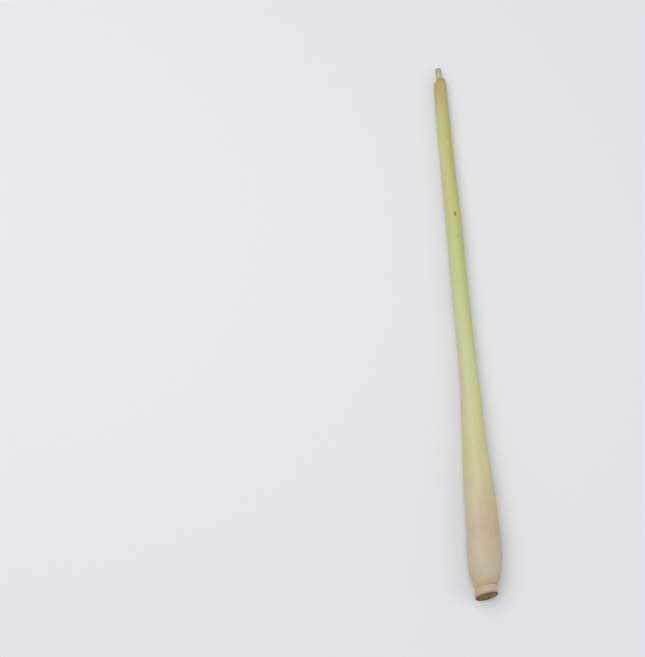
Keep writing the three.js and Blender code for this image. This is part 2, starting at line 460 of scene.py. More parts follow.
for gathering in range(FOOT_GATHERINGS):
    push(outer_leaf, at_foot * np.maximum(from_middle(outer_leaf) - snug, 0))
    push(outer_leaf, at_foot * np.maximum(points(outer_leaf)[:, 1] - level, 0), "Y")

# %% [markdown]
# A leaf lies on the table, so the points that are under it are picked and scaled flat. Then
# Solidify gives the sheet its flesh, thick at the bulb and thin as paper at both long edges, and
# Subdivision rounds it all.

# %% Outer leaf, flattened and thickened
def rest_on_table(piece):
    """Presses flat what would reach below the table."""
    below = points(piece)[:, 2] < 0
    edit(piece, below)
    bpy.ops.transform.resize(value=(1, 1, 0), center_override=(0, 0, 0))
    bpy.ops.object.mode_set(mode="OBJECT")
    return int(below.sum())


def thicken(leaf, walls):
    """Gives a sheet its flesh, inwards from its skin, and rounds it."""
    most = paint(leaf, "wall", walls)
    modify(leaf, "SOLIDIFY", thickness=most, offset=-1, vertex_group="wall", edge_crease_rim=0.3)
    modify(leaf, "SUBSURF", levels=1, render_levels=1)
    leaf.vertex_groups.remove(leaf.vertex_groups["wall"])
    work_on(leaf)
    bpy.ops.object.shade_smooth()


away_from_ends = smooth(share, 0, 0.06) * (1 - 0.8 * smooth(share, 0.95, 1.0))
make_uneven(outer_leaf, HOLLOW_SIZE, HOLLOW_DEPTH, away_from_ends)
pressed = rest_on_table(outer_leaf)
thinning = 1 - smooth(turned, 0, EDGE_WIDTH) * smooth(OUTER_TURN - turned, 0, 0.4 * EDGE_WIDTH)
thicken(outer_leaf, wall(place) - np.maximum(wall(place) - EDGE_WALL, 0) * thinning)
print("outer leaf:", pressed, "points pressed flat,", len(outer_leaf.data.polygons), "faces")

# %% [markdown]
# ## The inner leaf
# The next sheath sits inside the first, and only its brown tip shows in the opening of the rim. It
# is rolled the other way round the clock: its open side faces away from the first one's.

# %% Inner leaf
INNER_TURN = 342
INNER_GRID = (56, 90)
INNER_FOOT = 12.5 * MM
INNER_PEAK = 406.6 * MM
INNER_DROP = 8 * MM
INNER_ANGLE = 200
INNER_WALL = 0.86
INNER_CLOSING = 0.7
CLEARANCE = 0.32 * MM


def inside_outer(place):
    """The room that the outer leaf leaves inside it."""
    return stalk_radius(place) - 1.5 * wall(place) - 0.5 * LAP_GAP - RIB_DEPTH - CLEARANCE


def inner_radius(place):
    """The inner leaf's skin, drawn in towards its foot."""
    return inside_outer(place) * smooth(place, -12 * MM, 18.5 * MM)


def inner_edge(place):
    """Where the inner leaf's first edge lies, in degrees."""
    return free_edge(place) + 180 - 9


inner_leaf = rolled_leaf(
    "inner_leaf", INNER_TURN, INNER_GRID, INNER_FOOT, INNER_PEAK, inner_radius, inner_edge
)
across, share = leaf_map(inner_leaf)
before = INNER_FOOT + (INNER_PEAK - INNER_FOOT) * share
angle = inner_edge(before) - across * INNER_TURN
push(inner_leaf, slanted(share, angle, INNER_DROP, INNER_ANGLE), "Y")
place = points(inner_leaf)[:, 1] - FOOT_Y
angle = inner_edge(place) - across * INNER_TURN
push(inner_leaf, INNER_CLOSING * stalk_radius(place) * rim_closing(place, angle))
thicken(inner_leaf, INNER_WALL * wall(place) * (1 - 0.4 * smooth(share, 0.95, 1.0)))
print("inner leaf:", len(inner_leaf.data.polygons), "faces")

# %% [markdown]
# ## The young shoot
# The heart of the stalk is the youngest leaf, still rolled up like a scroll. It fills the bulb and
# narrows to a thin roll, cut square at its tip, where the turns of the scroll show. It is rolled as
# the others are, only two and a half times round, each turn closer to the middle.

# %% Young shoot
SHOOT_TURN = 900
SHOOT_GRID = (75, 90)
SHOOT_FOOT = 18 * MM
SHOOT_TOP = LENGTH - 2.3 * MM
SHOOT_RADIUS = 2.62 * MM
SHOOT_CORE = 0.26
SHOOT_LEAN = 0.2 * MM
SHOOT_WALL = 0.4 * MM
STUB_TOP = FOOT_PEAK + 0.45 * MM
CONE_TOP = 34 * MM
CONE_FOOT_RADIUS = 4.3 * MM
CONE_TIP_RADIUS = 1.2 * MM


def cone_radius(place):
    """The cone of stem that stands inside the shoot."""
    level = (place - STUB_TOP) / (CONE_TOP - STUB_TOP)
    return CONE_FOOT_RADIUS + (CONE_TIP_RADIUS - CONE_FOOT_RADIUS) * level


def heart_room(place):
    """The room that the inner leaf leaves inside it."""
    room = inside_outer(place) - INNER_WALL * wall(place) - CLEARANCE
    return room * smooth(place, -30 * MM, 32 * MM)


def shoot_radius(place):
    """The shoot fills its room at the bulb, and is a thin roll at the tip."""
    room = heart_room(np.minimum(place, 380 * MM))
    return room + (SHOOT_RADIUS - room) * smooth(place, 300 * MM, 385 * MM)


def shoot_edge(place):
    """Where the shoot's outermost edge lies, in degrees."""
    return free_edge(place) - 20


shoot = rolled_leaf(
    "young_shoot", SHOOT_TURN, SHOOT_GRID, SHOOT_FOOT, SHOOT_TOP, shoot_radius, shoot_edge
)
across, share = leaf_map(shoot)
place = points(shoot)[:, 1] - FOOT_Y
push(shoot, SHOOT_LEAN * smooth(place, 385 * MM, 408 * MM), "X")
shoot_wall = SHOOT_WALL * (1 + 0.9 * (1 - smooth(place, 60 * MM, 300 * MM)))
beside_cone = 1 - smooth(place, CONE_TOP, CONE_TOP + 8 * MM)
round_cone = (cone_radius(place) + shoot_wall + CLEARANCE) * beside_cone
core = np.maximum(SHOOT_CORE * shoot_radius(place), round_cone)
push(shoot, (shoot_radius(place) - core) * smooth(across, 0.02, 1.0) ** 0.8)
edge_thinning = 0.7 * (1 - smooth(across * SHOOT_TURN, 0, 60))
push(shoot, shoot_wall * edge_thinning)
thicken(shoot, shoot_wall * (1 - edge_thinning))
print("young shoot:", len(shoot.data.polygons), "faces")

# %% [markdown]
# ## The stem's foot
# Under the leaves is the stem: a pale collar, cut off at a slant, and a cone inside the bulb that
# the leaves grow round. A disc is the cut face. Extruding it ring by ring draws the collar, the
# raised ring where the outer leaf grows, and the cone.

# %% Stem foot
STEM_RADIUS = STEM / 2 * MM
STEM_HEIGHT = float(height(NODE / 2))
STUB_SIDES = 72
CUT_RADIUS = 0.94 * STEM / 2 * MM
CUT_PEAK = 2.1 * MM
CUT_DROP = 4.8 * MM
CUT_ANGLE = 58
COLLAR_INSIDE = 8.1 * MM
STUB_OUTLINE = (
    (0.02, 0.965), (0.07, 0.98), (0.35, 0.978), (0.62, 0.98), (0.72, 0.987),
    (0.78, 0.985), (0.85, 1.005), (0.92, 1.015), (0.97, 1.0), (1.0, 0.985),
)


def next_ring(ring, y, radius):
    """Extrudes the selected face from one ring, its y and its radius, to the next. Returns that."""
    bpy.ops.mesh.extrude_region_move(TRANSFORM_OT_translate={"value": (0, y - ring[0], 0)})
    size = radius / ring[1]
    bpy.ops.transform.resize(value=(size, 1, size), center_override=(0, y, 0))
    return y, radius


bpy.ops.object.select_all(action="DESELECT")
bpy.ops.mesh.primitive_circle_add(
    vertices=STUB_SIDES, radius=CUT_RADIUS, fill_type="NGON", rotation=(math.pi / 2, 0, 0)
)
stem = bpy.context.object
stem.name = "stem_foot"
stem.data.name = "stem_foot"
bpy.ops.object.transform_apply(location=False, rotation=True, scale=False)
bpy.ops.object.mode_set(mode="EDIT")
bpy.ops.mesh.select_all(action="SELECT")
bpy.ops.transform.translate(value=(0, CUT_PEAK, 0))
ring = (CUT_PEAK, CUT_RADIUS)
for level, width in STUB_OUTLINE:
    ring = next_ring(ring, CUT_PEAK + level * (STUB_TOP - CUT_PEAK), width * STEM_RADIUS)
ring = next_ring(ring, STUB_TOP + 0.02 * MM, COLLAR_INSIDE)
ring = next_ring(ring, STUB_TOP + 1.6 * MM, COLLAR_INSIDE - 0.2 * MM)
ring = next_ring(ring, STUB_TOP + 1.7 * MM, CONE_FOOT_RADIUS + 0.6 * MM)
for place in np.linspace(STUB_TOP + 3 * MM, CONE_TOP, 4):
    ring = next_ring(ring, float(place), float(cone_radius(place)))
bpy.ops.mesh.select_all(action="SELECT")
bpy.ops.mesh.normals_make_consistent(inside=False)
bpy.ops.transform.resize(value=(1, 1, OVAL), center_override=(0, 0, 0))
bpy.ops.transform.translate(value=(MIDDLE_X, FOOT_Y, STEM_HEIGHT))
bpy.ops.object.mode_set(mode="OBJECT")
print("stem foot:", len(stem.data.vertices), "points")

# %% [markdown]
# The knife went through at a slant, and the ring of the node slants another way. A cut face isn't
# flat either: the leaf bases stand round it in thin rings, and the soft pith in the middle
# has dried and sunk. The face is inset again and again, a little deeper and then a little less.

# %% Stem foot, slanted and cut
def slant_stub():
    """Pushes the stub's points down round the cut and round the node."""
    x, y, z = points(stem).T
    x, z = x - MIDDLE_X, (z - STEM_HEIGHT) / OVAL
    angle = np.degrees(np.arctan2(z, x))
    level = np.clip((y - FOOT_Y - CUT_PEAK) / (STUB_TOP - CUT_PEAK), 0, 1)
    reach = np.clip(np.hypot(x, z) / STEM_RADIUS, 0, 1)
    at_cut = CUT_DROP * (0.5 - reach * (facing(angle, CUT_ANGLE) - 0.5)) * (1 - level)
    at_node = FOOT_DROP * (0.5 - reach * (facing(angle, FOOT_ANGLE) - 0.5)) * level
    inside = y - FOOT_Y > STUB_TOP + 2 * MM
    push(stem, np.where(inside, 0, at_cut + at_node), "Y")


def face_towards_foot():
    """The points of the cut, the one large face that looks back along Y."""
    faces = [f for f in stem.data.polygons if len(f.vertices) == STUB_SIDES and f.normal.y < -0.5]
    chosen = np.zeros(len(stem.data.vertices), dtype=bool)
    chosen[list(faces[0].vertices)] = True
    return chosen


slant_stub()
CUT_RINGS = 9
chance = np.random.default_rng(5)
edit(stem, face_towards_foot())
bpy.ops.mesh.select_mode(type="FACE")
for ring in range(CUT_RINGS):
    thickness = float(chance.uniform(0.55, 0.9)) * MM
    depth = float(chance.uniform(-0.16, 0.12)) * MM
    bpy.ops.mesh.inset(thickness=thickness, depth=depth)
bpy.ops.mesh.poke()
bpy.ops.mesh.select_mode(type="VERT")
for ring in range(CUT_RINGS - 1):
    bpy.ops.mesh.select_more()
bpy.ops.transform.vertex_random(offset=0.09 * MM, uniform=1, seed=4)
bpy.ops.object.mode_set(mode="OBJECT")
rest_on_table(stem)
modify(stem, "SUBSURF", levels=2, render_levels=2)
work_on(stem)
bpy.ops.object.shade_smooth()
print("stem foot:", len(stem.data.polygons), "faces")

# %% [markdown]
# ## Tools for shader nodes
# A material is a small network: each node makes a value or a colour from the ones before it. Short
# helpers put nodes on a grid, so that the network can be read in the shader editor. A finish is
# built as a painter would: a ground colour, and coats over it, each let through by its own mask.
# A group is an effect that several materials can use, with named sockets.

# %% Helpers for shader nodes
def put(tree, kind, column, row, values=(), **settings):
    """A new shader node at a column and row, with its settings, and with values on its inputs."""
    node = tree.nodes.new("ShaderNode" + kind)
    node.location = (200 * column, -180 * row)
    for name, value in settings.items():
        setattr(node, name, value)
    for socket, value in dict(values).items():
        node.inputs[socket].default_value = value
    return node


def join(tree, *pairs):
    """Links each (output, input) pair."""
    for source, target in pairs:
        tree.links.new(source, target)


def sums(tree, column, row, operation, first, second=0):
    """A Math node on two values, each a number or another node's output. Returns its output."""
    node = put(tree, "Math", column, row, operation=operation)
    for socket, value in zip(node.inputs, (first, second)):
        if isinstance(value, (int, float)):
            socket.default_value = value
        else:
            tree.links.new(value, socket)
    return node.outputs[0]


def times(tree, column, row, first, second):
    """The product of two values. Returns its output."""
    return sums(tree, column, row, "MULTIPLY", first, second)


def step(tree, column, row, value, low, high):
    """A mask that goes from 0 at low to 1 at high, softly at both ends. Returns its output."""
    node = put(tree, "MapRange", column, row, {1: low, 2: high}, interpolation_type="SMOOTHSTEP")
    tree.links.new(value, node.inputs[0])
    return node.outputs[0]

# %% Helpers for coats and patterns
COVER = "MIX"
TINT = "MULTIPLY"


def coats(tree, column, shade, layers):
    """Lays coats over a colour. Each is a mask, its strength, a colour, and COVER or TINT."""
    for place, (mask, strength, over, kind) in enumerate(layers, column):
        share = times(tree, place, 1, mask, strength)
        mix = put(tree, "Mix", place, 0, {7: over}, data_type="RGBA", blend_type=kind)
        join(tree, (share, mix.inputs[0]), (shade, mix.inputs[6]))
        shade = mix.outputs[2]
    return shade


def pattern(tree, kind, column, row, where, values, stretch=None):
    """A texture that reads a place, drawn out by a Mapping if one is given. Returns its outputs."""
    texture = put(tree, kind, column, row, values)
    if stretch:
        mapping = put(tree, "Mapping", column - 1, row, stretch)
        join(tree, (where, mapping.inputs["Vector"]))
        where = mapping.outputs[0]
    join(tree, (where, texture.inputs["Vector"]))
    return texture.outputs

# %% Helpers for groups and finishes
def new_group(name, inputs, outputs):
    """An empty group with named sockets, and its input and output nodes."""
    group = bpy.data.node_groups.new(name, "ShaderNodeTree")
    for way, sockets in (("INPUT", inputs), ("OUTPUT", outputs)):
        for socket, kind in sockets:
            group.interface.new_socket(name=socket, in_out=way, socket_type="NodeSocket" + kind)
    start = group.nodes.new("NodeGroupInput")
    start.location = (-200, 0)
    end = group.nodes.new("NodeGroupOutput")
    end.location = (2400, 0)
    return group, start, end


def use(tree, group, column, row):
    """Puts a shared group into a material."""
    node = put(tree, "Group", column, row)
    node.node_tree = group
    node.label = group.name
    return node


def finish_skin(tree, column, shader, shade, relief, strength, depth, constants):
    """Wires the colour and the relief into the shader, and sets its constants."""
    bump = put(tree, "Bump", column, 5, {"Strength": strength, "Distance": depth})
    join(
        tree,
        (shade, shader.inputs["Base Color"]),
        (relief, bump.inputs["Height"]),
        (bump.outputs[0], shader.inputs["Normal"]),
    )
    for socket, value in constants.items():
        shader.inputs[socket].default_value = value

# %% [markdown]
# ### Place on the stalk
# The colour of a stalk changes most along its length: pinkish cream at the bulb, pale green in the
# middle, yellow-green at the top. So the first group tells how far a point is from the cut foot, 0,
# to the tip, 1. It reads Object coordinates, which are the piece's own, so nothing slides on it.

# %% Group: place on the stalk
def place_group():
    group, start, end = new_group("place on the stalk", (), (("Place", "Float"),))
    where = put(group, "TexCoord", 0, 0)
    split = put(group, "SeparateXYZ", 1, 0)
    share = put(group, "MapRange", 2, 0, {1: FOOT_Y, 2: FOOT_Y + LENGTH})
    join(
        group,
        (where.outputs["Object"], split.inputs[0]),
        (split.outputs["Y"], share.inputs[0]),
        (share.outputs[0], end.inputs["Place"]),
    )
    return group


stalk_place = place_group()
print("group:", stalk_place.name)

# %% [markdown]
# ### Veins and streaks
# A grass leaf has straight parallel veins. U times the leaf's turn is the angle round the stalk,
# and a sine of it gives evenly spaced veins. Where the leaf laps over itself the pattern should run
# on, so the noises read the angle as a point on a circle, with V for the height. Noise drawn out
# along V makes the veins uneven and gives soft streaks, a finer one the mottling.

# %% Group: veins and streaks
VEINS = 80
VEIN_NOISES = (
    # how fine round the stalk, how fine along it, and detail: unevenness, streaks, mottling
    (22, 5, 3), (2.4, 1.6, 2), (2.6, 62, 4),
)


def vein_group():
    group, start, end = new_group(
        "veins and streaks",
        (("Leaf map", "Vector"), ("Turn", "Float")),
        (("Veins", "Float"), ("Streaks", "Float"), ("Mottle", "Float")),
    )
    split = put(group, "SeparateXYZ", 0, 0)
    join(group, (start.outputs["Leaf map"], split.inputs[0]))
    wound = times(group, 1, 0, split.outputs["X"], start.outputs["Turn"])
    angle = times(group, 2, 0, wound, 2 * math.pi)
    circle = put(group, "CombineXYZ", 4, 0)
    join(
        group,
        (sums(group, 3, 0, "COSINE", angle), circle.inputs["X"]),
        (sums(group, 3, 1, "SINE", angle), circle.inputs["Y"]),
        (split.outputs["Y"], circle.inputs["Z"]),
    )
    noises = []
    for row, (round_it, along_it, detail) in enumerate(VEIN_NOISES):
        noise = pattern(
            group, "TexNoise", 6, row, circle.outputs[0],
            {"Scale": 1, "Detail": detail, "Roughness": 0.6}, {"Scale": (round_it, round_it, along_it)},
        )
        noises.append(noise[0])
    fine, wide, patches = noises
    turns = times(group, 3, 3, angle, VEINS)
    wave = sums(group, 7, 3, "SINE", sums(group, 7, 4, "ADD", turns, wide))
    ridge = sums(group, 8, 3, "MULTIPLY_ADD", wave, 0.25)
    ridge.node.inputs[2].default_value = 0.25
    veins = sums(group, 9, 1, "ADD", ridge, times(group, 8, 1, fine, 0.5))
    join(
        group,
        (veins, end.inputs["Veins"]),
        (step(group, 8, 0, wide, 0.34, 0.66), end.inputs["Streaks"]),
        (patches, end.inputs["Mottle"]),
    )
    return group


vein_streaks = vein_group()
print("group:", vein_streaks.name, "with", VEINS, "veins")

# %% [markdown]
# ### The sunny side, with painted shade
# One side of a stalk stands in the sun and turns yellower, and the other stays pale. The same mask
# carries painted light too: the sunny side is also painted darker, as shade, and the pale side takes a
# painted shadow on the neck and a painted highlight near the top. Round the stalk that is a cosine of
# the angle. The leaf winds as it climbs, so the angle is worked out from both parts of the leaf's map.

# %% Group: sunny side
WINDING = 66


def sun_side_shade_group():
    group, start, end = new_group(
        "sunny side",
        (("Leaf map", "Vector"), ("Turn", "Float"), ("Start", "Float")),
        (("Sun", "Float"),),
    )
    split = put(group, "SeparateXYZ", 0, 0)
    join(group, (start.outputs["Leaf map"], split.inputs[0]))
    wound = times(group, 1, 0, split.outputs["X"], start.outputs["Turn"])
    rise = times(group, 1, 1, step(group, 0, 1, split.outputs["Y"], 0.15, 0.85), WINDING / 360)
    risen = sums(group, 2, 1, "ADD", rise, start.outputs["Start"])
    angle = sums(group, 2, 0, "SUBTRACT", risen, wound)
    cosine = sums(group, 4, 0, "COSINE", times(group, 3, 0, angle, 2 * math.pi))
    join(group, (step(group, 5, 0, cosine, -0.9, 0.95), end.inputs["Sun"]))
    return group


sun_side_and_painted_shade = sun_side_shade_group()
print("group:", sun_side_and_painted_shade.name)

# %% [markdown]
# ### Rust spots
# Old leaves carry a few rusty spots. Those that catch the eye are placed one by one, each a soft mask
# about its own point. Behind them a sparse Voronoi pattern scatters small flecks.

# %% Group: rust spots
SPOTS = (
    # x, y and z in millimetres, radius, and how dark
    (0.4, 80.0, 12.57, 1.3, 0.8),
    (1.2, 61.6, 12.88, 1.0, 0.4),
    (0.1, 146.0, 10.56, 1.0, 0.4),
    (-0.8, -160.0, 20.9, 1.8, 0.14),
    (-4.6, 18.0, 3.5, 1.3, 0.8),
    (6.4, -118.0, 7.5, 1.5, 0.6),
)
SPOT_SQUEEZE = 0.38
SPOT_RAGGED = 0.8


def rust_group():
    group, start, end = new_group("rust spots", (), (("Rust", "Float"),))
    where = put(group, "TexCoord", 0, 0).outputs["Object"]
    rough = pattern(group, "TexNoise", 1, 2, where, {"Scale": 900, "Detail": 3, "Roughness": 0.7})
    ragged = times(group, 2, 6, rough[0], 2 * SPOT_RAGGED * MM)
    longer = put(group, "Mapping", 1, 0, {"Scale": (1, SPOT_SQUEEZE, 1)})
    join(group, (where, longer.inputs["Vector"]))
    rust = None
    for row, (x, y, z, radius, dark) in enumerate(SPOTS):
        centre = (x * MM, SPOT_SQUEEZE * y * MM, z * MM)
        away = put(group, "VectorMath", 2, row, {1: centre}, operation="DISTANCE")
        join(group, (longer.outputs[0], away.inputs[0]))
        reach = sums(group, 3, row, "ADD", away.outputs["Value"], ragged)
        rim, heart = (radius + SPOT_RAGGED) * MM, (0.25 * radius + SPOT_RAGGED) * MM
        spot = times(group, 5, row, step(group, 4, row, reach, rim, heart), dark)
        rust = spot if rust is None else sums(group, 6, row, "MAXIMUM", rust, spot)
    cells = pattern(group, "TexVoronoi", 2, 7, where, {"Scale": 55, "Randomness": 1})
    fleck = step(group, 3, 7, cells["Distance"], 0.045, 0.02)
    chosen = put(group, "SeparateColor", 3, 8)
    join(group, (cells["Color"], chosen.inputs[0]))
    flecks = times(group, 5, 7, fleck, step(group, 4, 8, chosen.outputs[0], 0.6, 0.9))
    rust = sums(group, 7, 0, "MAXIMUM", rust, times(group, 6, 7, flecks, 0.35))
    join(group, (rust, end.inputs["Rust"]))
    return group


rust_spots = rust_group()
print("group:", rust_spots.name, "with", len(SPOTS), "placed by hand")

# %% [markdown]
# ### The skin of a sheath
# Both sheaths share one recipe. The ground is a colour ramp along the stalk. Over it go the sunny
# side, yellower and also painted darker as shade; tints on the side away from the sun, which are the
# bulb's own paler bloom, a painted shadow on the neck and a painted highlight near the top; the tan
# that dried down from the rim, painted darker on the sunny side as shade; streaks, veins, and the
# bulb's mottling and grain. The browned rim and foot, the thin free edge and the rust come last. The
# leaf is waxy, so it is fairly smooth, and a little light goes into it, which Subsurface does. Bump
# raises the veins, and fine creases across the bulb.

# %% Colours of a sheath
SHEATH_COLOURS = (
    # millimetres from the foot, colour
    (6, (189, 177, 155)), (24, (192, 181, 157)), (46, (191, 174, 145)), (90, (203, 197, 158)),
    (133, (204, 203, 160)), (180, (201, 204, 168)), (275, (193, 198, 141)), (400, (186, 185, 119)),
)
# Tints for the side away from the sun: at the bulb its own paler, bluer bloom; on the neck a painted
# shadow, darker and yellower; near the top a painted highlight, paler and cooler.
PALE_SIDE_TINTS_AND_PAINTED_LIGHT = (
    # from and to, in millimetres from the foot, and what the colour is multiplied by
    (36, 60, (1.07, 1.08, 1.2, 1)),
    (96, 185, (0.95, 0.935, 0.88, 1)),
    (338, 386, (1.09, 1.07, 1.18, 1)),
)
SHADED_FADE = 24
print("the ground has", len(SHEATH_COLOURS), "colours")

# %% Helpers for leaf skins
def colour_ramp(tree, column, row, stops):
    """A colour ramp from (millimetres from the foot, screen colour) stops. Returns its output."""
    place = use(tree, stalk_place, column, row)
    ramp = put(tree, "ValToRGB", column + 1, row)
    while len(ramp.color_ramp.elements) < len(stops):
        ramp.color_ramp.elements.new(0.5)
    for element, (millimetres, shade) in zip(ramp.color_ramp.elements, stops):
        element.position = millimetres * MM / LENGTH
        element.color = colour(*shade)
    join(tree, (place.outputs[0], ramp.inputs[0]))
    return ramp.outputs[0]


def leaf_effects(tree, turn):
    """The leaf's own map, and its veins for a leaf rolled through turn degrees."""
    leaf = put(tree, "UVMap", 0, 0, uv_map="UVMap")
    veins = use(tree, vein_streaks, 1, 2)
    veins.inputs["Turn"].default_value = turn / 360
    join(tree, (leaf.outputs[0], veins.inputs[0]))
    return leaf.outputs[0], veins


def waxy_roughness(tree, shader, mottle, low, high):
    """A roughness that changes a little with the mottling."""
    waxy = put(tree, "MapRange", 10, 3, {3: low, 4: high})
    join(tree, (mottle, waxy.inputs[0]), (waxy.outputs[0], shader.inputs["Roughness"]))


def bulb_noises(tree, bulb):
    """Fine grain and fine creases across the leaf, on the bulb alone. Returns their outputs."""
    where = put(tree, "TexCoord", 2, 9).outputs["Object"]
    grain = pattern(tree, "TexNoise", 4, 9, where, {"Scale": 560, "Detail": 3, "Roughness": 0.6})
    across_it = {"Scale": (70, 800, 70)}
    creases = pattern(tree, "TexNoise", 4, 10, where, {"Scale": 1, "Detail": 2}, across_it)
    grainy = times(tree, 6, 9, step(tree, 5, 9, grain[0], 0.52, 0.72), bulb)
    return grainy, times(tree, 6, 10, creases[0], bulb)

# %% Material: sheath skin
def sheath_material(name, turn, start, dried, aged):
    """The skin of a leaf that is rolled through turn degrees from a start angle in degrees."""
    material, tree, shader = new_skin(name, 28)
    leaf, veins = leaf_effects(tree, turn)
    flat = put(tree, "SeparateXYZ", 1, 0)
    place = use(tree, stalk_place, 0, 1).outputs[0]
    side = use(tree, sun_side_and_painted_shade, 1, 3)
    rust = use(tree, rust_spots, 1, 4).outputs[0]
    side.inputs["Turn"].default_value = turn / 360
    side.inputs["Start"].default_value = start / 360
    join(tree, (leaf, flat.inputs[0]), (leaf, side.inputs["Leaf map"]))
    across, up, sun_side_and_shade = flat.outputs["X"], flat.outputs["Y"], side.outputs[0]
    streaks, mottle = veins.outputs["Streaks"], veins.outputs["Mottle"]

    # The sunny side is yellower, which is its own colour, and darker, which is painted shade.
    sunny_tint_and_shade = times(tree, 3, 1, sun_side_and_shade, step(tree, 2, 1, place, 0.05, 0.5))
    layers = [(sunny_tint_and_shade, 1, (0.89, 0.91, 0.64, 1), TINT)]
    # Away from the sun: the bulb's own paler bloom, a painted shadow on the neck, a painted highlight
    # near the top.
    shaded = step(tree, 3, 2, sun_side_and_shade, 0.45, 0.02)
    for row, (low, high, tint) in enumerate(PALE_SIDE_TINTS_AND_PAINTED_LIGHT, 7):
        above = step(tree, 2, row, place, (low - SHADED_FADE) * MM / LENGTH, low * MM / LENGTH)
        below = step(tree, 3, row, place, (high + SHADED_FADE) * MM / LENGTH, high * MM / LENGTH)
        layers.append((times(tree, 4, row, above, below), shaded, tint, TINT))

    ragged = times(tree, 3, 4, streaks, 0.02)
    near_rim = step(tree, 5, 4, sums(tree, 4, 4, "SUBTRACT", up, ragged), 0.9, 0.982)
    dry = times(tree, 6, 4, near_rim, dried)
    bulb = step(tree, 3, 5, place, 0.42, 0.2)
    grainy, creases = bulb_noises(tree, bulb)
    layers += [
        (dry, 1, colour(189, 164, 112), COVER),
        (dry, streaks, colour(197, 175, 115), COVER),
        # Painted shade: the dried tan is darker on the sunny side.
        (dry, sun_side_and_shade, (0.88, 0.91, 0.88, 1), TINT),
        (streaks, 0.35, (1.02, 1.03, 0.95, 1), TINT),
        (veins.outputs["Veins"], 0.16, (0.86, 0.88, 0.8, 1), TINT),
        (step(tree, 4, 5, mottle, 0.4, 0.75), bulb, (0.99, 0.95, 0.91, 1), TINT),
        (step(tree, 4, 6, mottle, 0.6, 0.25), bulb, (0.97, 1.0, 0.99, 1), TINT),
        (grainy, 0.6, (0.93, 0.9, 0.82, 1), TINT),
        (step(tree, 5, 5, up, 0.985, 1.0), 0.4, colour(158, 122, 82), COVER),
        (step(tree, 5, 6, up, 0.02, 0.0), 0.6, colour(180, 158, 106), COVER),
        (step(tree, 6, 5, across, 0.006, 0.0), 0.12, colour(186, 163, 116), COVER),
        (step(tree, 6, 6, rust, 0.0, 0.6), 0.75, colour(174, 150, 84), COVER),
        (step(tree, 7, 5, rust, 0.3, 1.0), 1, colour(124, 92, 42), COVER),
    ]
    if aged:
        layers.append((step(tree, 7, 6, place, 0.2, 0.95), 1, colour(176, 142, 110), COVER))
    ground = colour_ramp(tree, 2, 0, SHEATH_COLOURS)
    shade = coats(tree, 8, ground, layers)

    waxy_roughness(tree, shader, mottle, 0.4, 0.55)
    relief = sums(tree, 8, 5, "ADD", veins.outputs["Veins"], times(tree, 7, 10, creases, 0.5))
    finish_skin(tree, 12, shader, shade, relief, 0.5, 0.12 * MM, {
        "Specular IOR Level": 0.4,
        "Subsurface Weight": 0.12,
        "Subsurface Radius": (1.0, 0.8, 0.35),
        "Subsurface Scale": 0.4 * MM,
    })
    return material


outer_skin = sheath_material("outer sheath skin", OUTER_TURN, start=70, dried=0.85, aged=False)
inner_skin = sheath_material("inner sheath skin", INNER_TURN, start=241, dried=1.0, aged=True)
print("materials:", outer_skin.name, "and", inner_skin.name)

# %% [markdown]
# ### The skin of the shoot
# The shoot is the greenest and smoothest leaf, because it never saw the weather. Its cut tip has
# browned and dried a little.

# %% Material: shoot skin
SHOOT_COLOURS = (
    (20, (214, 206, 170)), (330, (196, 196, 146)), (406, (195, 186, 149)),
    (412, (188, 184, 148)), (415.6, (174, 166, 136)), (417.8, (156, 136, 102)),
)


def shoot_material():
    material, tree, shader = new_skin("young shoot skin", 8)
    leaf, veins = leaf_effects(tree, SHOOT_TURN)
    shade = coats(tree, 4, colour_ramp(tree, 2, 0, SHOOT_COLOURS), (
        (veins.outputs["Streaks"], 0.7, (0.9, 0.93, 0.8, 1), TINT),
        (veins.outputs["Veins"], 0.35, (0.85, 0.88, 0.75, 1), TINT),
    ))
    waxy_roughness(tree, shader, veins.outputs["Mottle"], 0.42, 0.58)
    finish_skin(tree, 6, shader, shade, veins.outputs["Veins"], 0.4, 0.08 * MM, {
        "Subsurface Weight": 0.12,
        "Subsurface Radius": (1.0, 0.9, 0.4),
        "Subsurface Scale": 1.0 * MM,
    })
    return material


shoot_skin = shoot_material()
print("material:", shoot_skin.name)

# %% [markdown]
# ### The collar
# The collar is bare stem: cream with a pink breath, and faint lines round it where the leaf bases
# sat. Its edge browned with the cut. How far a point is above the slanted cut is a dot product
# with the cut's own slope.

# %% Material: collar
COLLAR_COLOURS = (
    (1.6, (182, 169, 147)), (4.5, (188, 175, 153)), (7, (191, 180, 164)),
    (8.6, (188, 172, 140)), (12, (186, 168, 130)),
)


def above_cut(tree, column, row, spot):
    """How far a spot is above the slanted cut, along Y. Returns its output."""
    slope = CUT_DROP / 2 / STEM_RADIUS
    turn = math.radians(CUT_ANGLE)
    across = slope * math.cos(turn)
    up = slope * math.sin(turn) / OVAL
    start = FOOT_Y + CUT_PEAK - CUT_DROP / 2 - across * MIDDLE_X - up * STEM_HEIGHT
    place = put(tree, "VectorMath", column, row, {1: (-across, 1, -up)}, operation="DOT_PRODUCT")
    tree.links.new(spot, place.inputs[0])
    return sums(tree, column + 1, row, "SUBTRACT", place.outputs["Value"], start)


